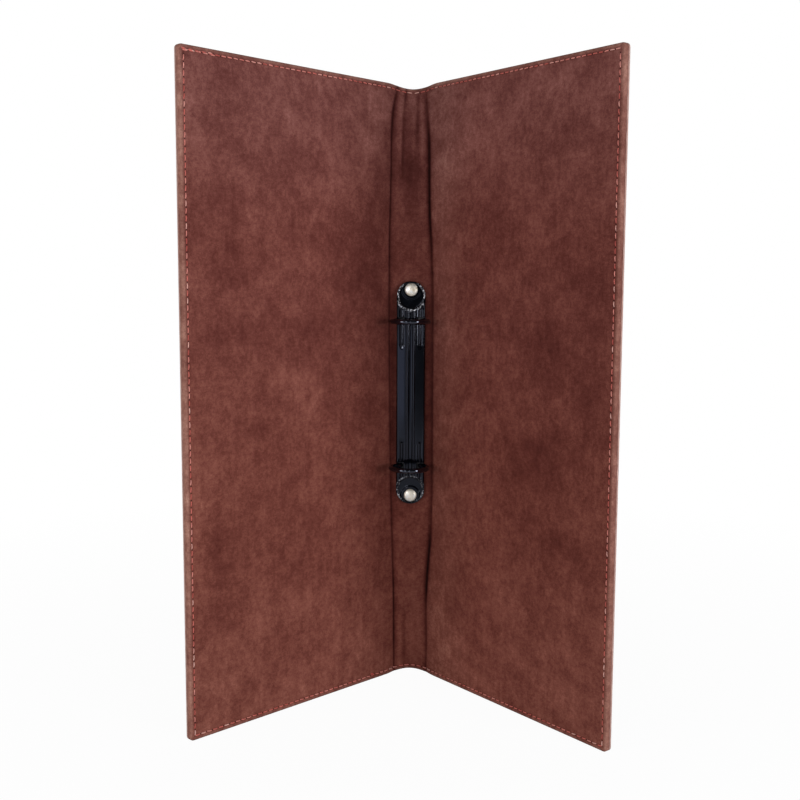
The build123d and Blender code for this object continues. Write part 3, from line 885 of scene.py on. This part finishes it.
def stitch_tree():
    """Stitches laid along a path: a short arched length of thread at each pitch, with a needle
    hole half a pitch beyond it, a flat dark blob of painted shade."""
    tree = bpy.data.node_groups.new("seam_stitches", "GeometryNodeTree")
    face = tree.interface
    face.new_socket("Geometry", in_out="INPUT", socket_type="NodeSocketGeometry")
    for name in ("Pitch", "Stitch length", "Thread", "Arch", "Slant"):
        face.new_socket(name, in_out="INPUT", socket_type="NodeSocketFloat")
    for name in ("Thread finish", "Hole shade finish"):
        face.new_socket(name, in_out="INPUT", socket_type="NodeSocketMaterial")
    face.new_socket("Geometry", in_out="OUTPUT", socket_type="NodeSocketGeometry")
    given = add_node(tree, "NodeGroupInput", out=None)
    curve = add_node(tree, "GeometryNodeMeshToCurve", {"Mesh": given["Geometry"]})
    even = add_node(tree, "GeometryNodeResampleCurve", {"Curve": curve, "Length": given["Pitch"]},
                    mode="LENGTH")
    back, half, sunk, radius, gap = [
        add_node(tree, MATH, {0: given[size], 1: share}, operation="MULTIPLY")
        for size, share in (("Stitch length", -0.5), ("Stitch length", 0.5), ("Thread", -0.6),
                            ("Thread", 0.5), ("Pitch", 0.5))]
    arch = add_node(tree, "GeometryNodeCurveQuadraticBezier", {
        "Resolution": 6,
        "Start": add_node(tree, "ShaderNodeCombineXYZ", {"X": back, "Z": sunk}),
        "Middle": add_node(tree, "ShaderNodeCombineXYZ", {"Z": given["Arch"]}),
        "End": add_node(tree, "ShaderNodeCombineXYZ", {"X": half, "Z": sunk})})
    section = add_node(tree, "GeometryNodeCurvePrimitiveCircle",
                       {"Resolution": 6, "Radius": radius}, mode="RADIUS")
    thread = add_node(tree, "GeometryNodeCurveToMesh", {
        "Curve": arch, "Profile Curve": section, "Fill Caps": True})
    ball = add_node(tree, "GeometryNodeMeshIcoSphere", {
        "Radius": given["Thread"], "Subdivisions": 2})
    # the needle hole: a flat blob in the hole's dark finish, painted shade
    hole = add_node(tree, "GeometryNodeTransform", {
        "Geometry": ball, "Scale": (0.62, 0.45, 0.16),
        "Translation": add_node(tree, "ShaderNodeCombineXYZ", {"X": gap})})
    along = add_node(tree, "GeometryNodeInputTangent")
    outward = add_node(tree, "GeometryNodeInputNamedAttribute", {"Name": "outward"},
                       data_type="FLOAT_VECTOR")
    turn = add_node(tree, "FunctionNodeAxesToRotation", {
        "Primary Axis": along, "Secondary Axis": outward}, primary_axis="X", secondary_axis="Z")
    chance = add_node(tree, "FunctionNodeRandomValue", {2: -0.09, 3: 0.09, "Seed": 7}, 1,
                      data_type="FLOAT")
    slant = add_node(tree, MATH, {0: chance, 1: given["Slant"]}, operation="ADD")
    twist = add_node(tree, "FunctionNodeAxisAngleToRotation", {"Axis": (0, 0, 1), "Angle": slant})
    turned = add_node(tree, "FunctionNodeRotateRotation", {"Rotation": turn, "Rotate By": twist},
                      rotation_space="LOCAL")
    luck = add_node(tree, "FunctionNodeRandomValue", {"Seed": 11}, 1, data_type="FLOAT")
    whole = tree.nodes.new("GeometryNodeJoinGeometry")
    for shape, finish in ((thread, "Thread finish"), (hole, "Hole shade finish")):
        placed = add_node(tree, "GeometryNodeInstanceOnPoints", {
            "Points": even, "Instance": shape, "Rotation": turned})
        tinted = add_node(tree, "GeometryNodeStoreNamedAttribute", {
            "Geometry": placed, "Name": "stitch_tint", "Value": luck},
            data_type="FLOAT", domain="INSTANCE")
        real = add_node(tree, "GeometryNodeRealizeInstances", {"Geometry": tinted})
        smooth = add_node(tree, "GeometryNodeSetShadeSmooth", {"Geometry": real})
        finished = add_node(tree, "GeometryNodeSetMaterial", {
            "Geometry": smooth, "Material": given[finish]})
        tree.links.new(finished, whole.inputs[0])
    add_node(tree, "NodeGroupOutput", {"Geometry": whole.outputs[0]})
    return tree


def set_input(modifier, name, value):
    for item in modifier.node_group.interface.items_tree:
        if item.in_out == "INPUT" and item.name == name:
            modifier[item.identifier] = value


def seam(name, side, depth, tree):
    """The seam round one half of the cover, on its inside or its outside."""
    inner = FORE_EDGE - SEAM_INSET
    top = COVER_HEIGHT - SEAM_INSET
    half = STITCH_LENGTH / 2
    outside = depth > 1
    # the first stitch starts half a pitch from the spine's middle, so that both halves meet
    foot = [(a, SEAM_INSET) for a in np.arange(STITCH_PITCH / 2, inner - half, 0.7)]
    fore = [(inner, z) for z in np.arange(SEAM_INSET + half, top - half, 3.0)]
    head = [(a, top) for a, _ in reversed(foot)]
    runs = [foot, fore, head]
    if side < 0 and not outside:
        for begin, finish, above, below in BACK_TACK_RUNS:
            runs.append([(inner - BACK_TACK * t, top + above + (below - above) * t)
                         for t in np.linspace(begin, finish, 24)])
    path = [place for run in runs for place in run]
    ends = set(np.cumsum([len(run) for run in runs]) - 1)
    links = [(i, i + 1) for i in range(len(path) - 1) if i not in ends]
    across, z = np.array(path).T
    laid = depth + (hide_groove(across, z, side) if outside else 0)
    points = cover_point(across, z, laid, side)
    deeper = cover_point(across, z, laid + 1.0, side)
    outward = (deeper - points) if outside else (points - deeper)
    mesh = bpy.data.meshes.new(name + "_path")
    mesh.from_pydata([tuple(p * MM) for p in points], links, [])
    layer = mesh.attributes.new("outward", "FLOAT_VECTOR", "POINT")
    layer.data.foreach_set("vector", outward.astype(np.float32).ravel())
    guide = add_object(name + "_path", mesh)
    modifier = guide.modifiers.new("stitches", "NODES")
    modifier.node_group = tree
    for key, value in (("Pitch", STITCH_PITCH * MM), ("Stitch length", STITCH_LENGTH * MM),
                       ("Thread", THREAD * MM), ("Arch", STITCH_ARCH * MM),
                       ("Slant", STITCH_SLANT * side), ("Thread finish", THREAD_COLOUR),
                       ("Hole shade finish", HOLE_SHADE)):
        set_input(modifier, key, value)
    stitched = plain_mesh(guide)
    stitched.name = name
    piece = add_object(name, stitched)
    bpy.data.objects.remove(guide)
    across_fold(piece, side)


# Mechanism

def housing_depth(x, z):
    """How far the pressed housing stands in front of the lining, z from its middle."""
    ax, az = np.abs(x), np.abs(z)
    crown = ROOF - np.clip(ax - CROWN_HALF, 0, None) ** 2 / CROWN_FALL
    groove = MIDDLE_GROOVE * np.clip(1 - (ax / 1.3) ** 2, 0, None)
    roof = crown - np.clip(ax - EDGE_TURN, 0, None) ** 2 * 0.7 - groove
    swell = BEAD_ROUND ** 2 - (ax - BEAD_PLACE) ** 2
    bead = ROOF - BEAD_ROUND / 2 + np.sqrt(np.clip(swell, 0, None))
    top = np.maximum(roof, np.where(swell > 0, bead, 0))
    off_end = np.maximum(np.maximum(RIB_FROM - az, az - RIB_TO), 0)
    reach = np.sqrt((ax - RIB_PLACE) ** 2 + off_end ** 2)
    moat = RIB_MOAT * np.exp(-((reach - 1.0) / 0.35) ** 2)
    rib = RIB_RISE * np.clip(1 - (reach / RIB_HALF) ** 2, 0, None)
    top = top + rib - moat
    slope = (ROOF + 0.8 - DISH_RIM) / SHOULDER
    limit = np.clip(DISH_RIM + (DISH_CENTRE - az) * slope, DISH_RIM, None)
    top = np.minimum(top, limit)
    from_rivet = np.sqrt(x ** 2 + (az - RIVET_PLACE) ** 2)
    pad = PAD_RISE * (1 - smooth_step((from_rivet - PAD_RADIUS) / 0.5 + 0.5))
    floor = SHEET_STEEL + pad
    wall = smooth_step((from_dish(x, z) - (HOUSING_HALF - DISH_WALL - 0.35)) / 0.5)
    return floor + (top - floor) * wall


def from_dish(x, z):
    """Distance from the middle of the nearer dish, z from the housing's middle."""
    return np.sqrt(x ** 2 + (np.abs(z) - DISH_CENTRE) ** 2)


def rolled_rim(whole, layer, z, much, facing):
    """The rolled rim round a dish, added to the housing's mesh. Its sides carry bare-steel chips,
    partly wear and partly painted highlight: much at most, towards the angle that it faces above level."""
    around, about = 120, 14
    rings = []
    for i in range(around):
        turn = 2 * np.pi * i / around
        off = abs(np.degrees(np.arctan2(sin(turn), abs(cos(turn)))) - facing)
        glint_wear_share = much * float(np.clip(1.5 - off / 38, 0, 1))
        ring = []
        for k in range(about):
            angle = 2 * np.pi * k / about
            reach = HOUSING_HALF - RIM_ROUND - 0.02 + RIM_ROUND * cos(angle)
            rise = DISH_RIM - 0.3 + RIM_ROUND * sin(angle)
            corner = whole.verts.new(Vector((reach * cos(turn), LINING_FACE - rise,
                                             z + reach * sin(turn))) * MM)
            corner[layer] = glint_wear_share
            ring.append(corner)
        rings.append(ring)
    for i in range(around):
        one, two = rings[i], rings[(i + 1) % around]
        for k in range(about):
            nxt = (k + 1) % about
            whole.faces.new((one[k], one[nxt], two[nxt], two[k]))


def ring_housing():
    """The pressed steel cover: beads, ribs, slots for the rings and a dish at each end."""
    across = np.linspace(-1, 1, 105)
    finely = np.arange(26.4, DISH_CENTRE + 0.01, 0.26)
    straight = np.concatenate([-finely[::-1], np.arange(-25.2, 25.3, 1.2), finely])
    turns = np.radians(np.linspace(3, 86, 26))
    rows = [(-DISH_CENTRE - HOUSING_HALF * sin(t), HOUSING_HALF * cos(t)) for t in reversed(turns)]
    rows += [(z, HOUSING_HALF) for z in straight]
    rows += [(DISH_CENTRE + HOUSING_HALF * sin(t), HOUSING_HALF * cos(t)) for t in turns]
    levels, halves = np.array(rows).T
    z = levels[:, None] + 0 * across[None, :]
    x = halves[:, None] * across[None, :]
    depth = housing_depth(x, z)
    tall, wide = x.shape
    half_slot = RING_WIRE / 2 + SLOT_PLAY
    points = [(x[j, i], LINING_FACE - depth[j, i], z[j, i] + MECHANISM_HEIGHT)
              for j in range(tall) for i in range(wide)]
    faces = []
    skirt = {}

    def in_slot(j, i):
        mx = abs(x[j, i] + x[j + 1, i + 1]) / 2
        mz = (z[j, i] + z[j + 1, i + 1]) / 2
        return mx > SLOT_FROM and abs(abs(mz) - HALF_SPACING) < half_slot

    for j in range(tall - 1):
        for i in range(wide - 1):
            if not in_slot(j, i):
                k = j * wide + i
                faces.append((k, k + 1, k + wide + 1, k + wide))
    # the side walls go down in two steps, the second to the spine
    edge = [(j, 0) for j in range(tall)] + [(tall - 1, i) for i in range(1, wide)]
    edge += [(j, wide - 1) for j in range(tall - 2, -1, -1)] + [(0, i) for i in range(wide - 2, 0, -1)]
    for step in ("middle", "foot"):
        for j, i in edge:
            skirt[j, i, step] = len(points)
            low = WALL_FOOT if step == "foot" else depth[j, i] * WALL_MIDDLE
            points.append((x[j, i], LINING_FACE - low, z[j, i] + MECHANISM_HEIGHT))
    closed = edge + edge[:1]
    for (j0, i0), (j1, i1) in zip(closed, closed[1:]):
        gap = abs(abs(z[j0, i0] + z[j1, i1]) / 2 - HALF_SPACING) < half_slot
        upper = (j0 * wide + i0, j1 * wide + i1)
        for step in ("middle", "foot"):
            lower = (skirt[j0, i0, step], skirt[j1, i1, step])
            if not gap or step == "foot":
                faces.append((upper[0], upper[1], lower[1], lower[0]))
            upper = lower
    # Bare-steel chips, partly wear and partly painted highlight, in a band where the roof meets each dish,
    # fainter at the lower end
    glinting_wear = np.exp(-((from_dish(x, z) - HOUSING_HALF - 0.1) / 0.4) ** 2)
    glinting_wear = glinting_wear * (np.abs(z) < DISH_CENTRE - 3) * np.where(z > 0, 1.0, 0.2)
    glinting_wear = np.concatenate([glinting_wear.ravel(), np.zeros(len(points) - tall * wide)])
    piece = finish_mesh("pressed_housing", points, faces, [LACQUER],
                        attributes={"wear_and_glint": glinting_wear}, sharp=60)
    sheet = piece.modifiers.new("sheet_steel", "SOLIDIFY")
    sheet.thickness = SHOWN_SHEET * MM
    sheet.offset = -1
    solid = plain_mesh(piece)
    piece.modifiers.clear()
    whole = bmesh.new()
    whole.from_mesh(solid)
    layer = whole.verts.layers.float["wear_and_glint"]
    for way, much, facing in RIM_WEAR_AND_GLINT:
        rolled_rim(whole, layer, MECHANISM_HEIGHT + way * DISH_CENTRE, much, facing)
    whole.to_mesh(solid)
    whole.free()
    shade_smooth(solid)
    piece.data = solid
    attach(piece, "spine")
    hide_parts("ring_housing")


def wire_path():
    """Middle line of a right half ring as points of (across, depth), from the tip to the foot."""
    drop = sqrt(RING_RADIUS ** 2 - RING_ENTRY ** 2)
    turn = np.arctan2(drop, RING_ENTRY)
    angles = np.linspace(np.arcsin(TIP_GAP / RING_RADIUS), np.pi / 2 + turn, 44)
    path = [(RING_RADIUS * sin(t), RING_CENTRE + RING_RADIUS * cos(t)) for t in angles]
    x, depth = path[-1]
    for k in range(1, 7):
        bent = turn - turn * k / 6
        path.append((x - FOOT_BEND * (cos(bent) - cos(turn)),
                     depth - FOOT_BEND * (sin(turn) - sin(bent))))
    path.append((path[-1][0], FOOT_DEPTH))
    return path


def half_ring(name, side, z, body):
    """A half ring, bent from wire, with its foot on the blade and a flat tip."""
    path = np.array(wire_path())
    tangents = np.gradient(path, axis=0)
    tangents /= np.linalg.norm(tangents, axis=1)[:, None]
    rings = []
    for number, ((x, depth), (tx, td)) in enumerate(zip(path, tangents)):
        thick = RING_WIRE / 2 * (TIP_ROUND if number == 0 else 1.0)
        rings.append([(side * (x + td * thick * cos(a)), LINING_FACE - (depth - tx * thick * cos(a)),
                       z + thick * sin(a)) for a in round_turns(28)])
    piece = finish_mesh(name + "_wire", *capped_skin(rings), [RING_LACQUER], sharp=50)
    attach(piece, body)
    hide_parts(name)


def turned_head(name, node, profile, z, way):
    """A turned head from its profile of (radius, height), on the front or on the back."""
    seat = LINING_FACE if way > 0 else LINING_FACE + COVER_THICK
    rings = [[(radius * cos(a), seat - way * height, z + radius * sin(a)) for a in round_turns(48)]
             for radius, height in profile]
    piece = finish_mesh(name, *capped_skin(rings), [NICKEL], sharp=50)
    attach(piece, "spine")
    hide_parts(node)


def dome(radius, rise, seat, shank, shank_depth):
    """Profile of a low domed head with a rolled rim and its shank."""
    lip = 0.3
    profile = [(shank, shank_depth), (shank, seat), (radius - 0.25, seat), (radius, seat + lip)]
    for share in (0.97, 0.9, 0.75, 0.55, 0.3, 0.1):
        profile.append((radius * share, seat + lip + (rise - lip) * (1 - share ** 2.4) ** 0.6))
    return profile


def thread_knot():
    """The seam's tied end, a small knot at the left leaf's foot."""
    ball = bmesh.new()
    bmesh.ops.create_icosphere(ball, subdivisions=3, radius=1.0)
    place = cover_point(*KNOT_PLACE, -1)
    for vert in ball.verts:
        x, y, z = vert.co
        swell = 1 + 0.18 * sin(5 * x + 3 * z) * cos(4 * y)
        vert.co = Vector([(at + half * way * swell) * MM
                          for at, half, way in zip(place, KNOT_HALF, (x, y, z))])
    mesh = bpy.data.meshes.new("thread_knot")
    ball.to_mesh(mesh)
    ball.free()
    mesh.materials.append(THREAD_COLOUR)
    shade_smooth(mesh)
    piece = add_object("thread_knot", mesh)
    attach(piece, "left_leaf")


for side, word in ((-1, "left"), (1, "right")):
    wrapped_lining(side, word)
    outer_hide(side, word)
    leaf_board(side, word)
spine_board()
stitches = stitch_tree()
for side, word in ((-1, "left"), (1, "right")):
    seam(word + "_inner_seam", side, SEAM_SINK * 0.7, stitches)
    seam(word + "_outer_seam", side, COVER_THICK, stitches)
thread_knot()
ring_housing()
for level, way in (("upper", 1), ("lower", -1)):
    ring_z = MECHANISM_HEIGHT + way * HALF_SPACING
    rivet_z = MECHANISM_HEIGHT + way * RIVET_PLACE
    half_ring(level + "_left_half_ring", -1, ring_z, "left_ring_carrier")
    half_ring(level + "_right_half_ring", 1, ring_z, "right_ring_carrier")
    turned_head(level + "_rivet_head", level + "_rivet",
                dome(RIVET_RADIUS, RIVET_RISE, SHEET_STEEL + PAD_RISE, 2.0, -3.9), rivet_z, 1)
    turned_head(level + "_back_cap", level + "_rivet_cap",
                dome(CAP_RADIUS, CAP_RISE, 0.0, 1.15, -0.4), rivet_z, -1)

for word in ("left", "right"):
    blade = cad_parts[word + "_blade"]
    blade.data.materials.clear()
    blade.data.materials.append(STEEL)


# Floor, light and camera

def studio_floor():
    """A plain white floor that keeps a soft shadow."""
    low, reach = -0.0003, 6
    mesh = bpy.data.meshes.new("studio_floor")
    mesh.from_pydata([(-reach, -reach, low), (reach, -reach, low), (reach, reach, low),
                      (-reach, reach, low)], [], [(0, 1, 2, 3)])
    material, tree = new_material("white_paper")
    paper = add_node(tree, "ShaderNodeBsdfDiffuse", {"Color": "#f4f5f7"})
    white = add_node(tree, "ShaderNodeEmission", {"Color": "#ffffff", "Strength": 1.0})
    place = add_node(tree, "ShaderNodeTexCoord", out="Object")
    away = add_node(tree, "ShaderNodeVectorMath", {0: place}, "Value", operation="LENGTH")
    plain = add_node(tree, EASE, {
        "Value": away, "From Min": 0.12, "From Max": 0.55, "To Min": 0.965, "To Max": 1.0})
    seen = add_node(tree, "ShaderNodeLightPath", out="Is Camera Ray")
    share = add_node(tree, MATH, {0: seen, 1: plain}, operation="MULTIPLY")
    mixed = add_node(tree, "ShaderNodeMixShader", {0: share, 1: paper, 2: white})
    add_node(tree, "ShaderNodeOutputMaterial", {"Surface": mixed})
    mesh.materials.append(material)
    floor = add_object("studio_floor", mesh)


def studio_air():
    """Weak even light from all round. The camera sees it as a white backdrop, and gloss mirrors
    that backdrop behind the cover and a dim room in front of it."""
    world = bpy.data.worlds.new("studio_air")
    bpy.context.scene.world = world
    world.use_nodes = True
    tree = world.node_tree
    tree.nodes.clear()
    ray = add_node(tree, "ShaderNodeLightPath", out=None)
    way = add_node(tree, "ShaderNodeTexCoord", out="Generated")
    behind = add_node(tree, "ShaderNodeSeparateXYZ", {"Vector": way}, "Y")
    backdrop = add_node(tree, EASE, {
        "Value": behind, "From Min": 0.0, "From Max": 0.4, "To Min": 0.06, "To Max": 1.0},
        interpolation_type="SMOOTHSTEP")
    level = add_node(tree, MATH, {0: ray["Is Camera Ray"], 1: ray["Is Transmission Ray"]},
                     operation="ADD")
    for kind, strength in (("Is Glossy Ray", backdrop), ("Is Diffuse Ray", 0.16)):
        level = add_node(tree, MATH, {0: ray[kind], 1: strength, 2: level},
                         operation="MULTIPLY_ADD")
    air = add_node(tree, "ShaderNodeBackground", {"Color": "#ffffff", "Strength": level})
    add_node(tree, "ShaderNodeOutputWorld", {"Surface": air})


# Lamps: place, aim, size, power in watts and colour
LAMPS = {
    "right_window": ((0.96, -0.68, 0.29), (0.0, -0.03, 0.25), (0.36, 0.56), 6.3, "#f5faff"),
    "right_spark": ((0.80, -0.86, 0.26), (0.0, -0.03, 0.2), (0.16, 0.24), 3.0, "#ffffff"),
    "left_window": ((-0.78, -0.88, 0.29), (0.0, -0.03, 0.25), (0.3, 0.56), 2.3, "#ffffff"),
    "left_spark": ((-0.98, -0.66, 0.26), (0.0, -0.03, 0.2), (0.2, 0.24), 2.9, "#ffffff"),
    "front_lamp": ((-0.3, -1.05, 0.31), (0.0, -0.03, 0.18), (0.14, 0.14), 1.15, "#ffffff"),
    "white_card": ((-0.32, -0.95, 0.09), (0.0, 0.0, 0.09), (0.46, 0.14), 0.25, "#dfe6ff"),
    "back_lamp": ((0.25, 1.2, 0.75), (0.0, 0.0, 0.2), (0.5, 0.5), 2.6, "#ffffff"),
}


def soft_lamp(name, place, aim, size, power, colour):
    data = bpy.data.lights.new(name, "AREA")
    data.color = linear(colour)[:3]
    data.shape = "RECTANGLE"
    data.size, data.size_y = size
    data.energy = power
    lamp = add_object(name, data)
    lamp.location = place
    lamp.rotation_euler = (Vector(aim) - Vector(place)).to_track_quat("-Z", "Y").to_euler()


# Camera: place in metres, turn in degrees, and focal length and shift in the photograph's pixels
CAMERA_PLACE = (0.0357, -0.5953, 0.2204)
CAMERA_TURN = (-2.63, 6.53, 0.43)
FOCAL_PIXELS = 1081.0
SHIFT_PIXELS = (-26.0, 9.0)
FRAME_PIXELS = 800.0
SENSOR = 36.0


def photo_camera():
    """The photograph's camera, from the fit to the cover's corners."""
    yaw, pitch, roll = [radians(turn) for turn in CAMERA_TURN]
    ahead = Vector((sin(yaw), cos(yaw), 0))
    right = Vector((cos(yaw), -sin(yaw), 0))
    up = Vector((0, 0, 1))
    look = ahead * cos(pitch) - up * sin(pitch)
    rise = up * cos(pitch) + ahead * sin(pitch)
    level = right * cos(roll) + rise * sin(roll)
    rise = rise * cos(roll) - right * sin(roll)
    data = bpy.data.cameras.new("photo_camera")
    data.sensor_width = SENSOR
    data.lens = FOCAL_PIXELS / FRAME_PIXELS * SENSOR
    data.shift_x, data.shift_y = [shift / FRAME_PIXELS for shift in SHIFT_PIXELS]
    data.clip_start = 0.01
    camera = add_object("photo_camera", data)
    turn = Matrix((level, rise, -look)).transposed().to_4x4()
    camera.matrix_world = Matrix.Translation(CAMERA_PLACE) @ turn
    bpy.context.scene.camera = camera


studio_floor()
studio_air()
for lamp_name, setting in LAMPS.items():
    soft_lamp(lamp_name, *setting)
photo_camera()
bpy.context.scene.view_settings.view_transform = "Standard"
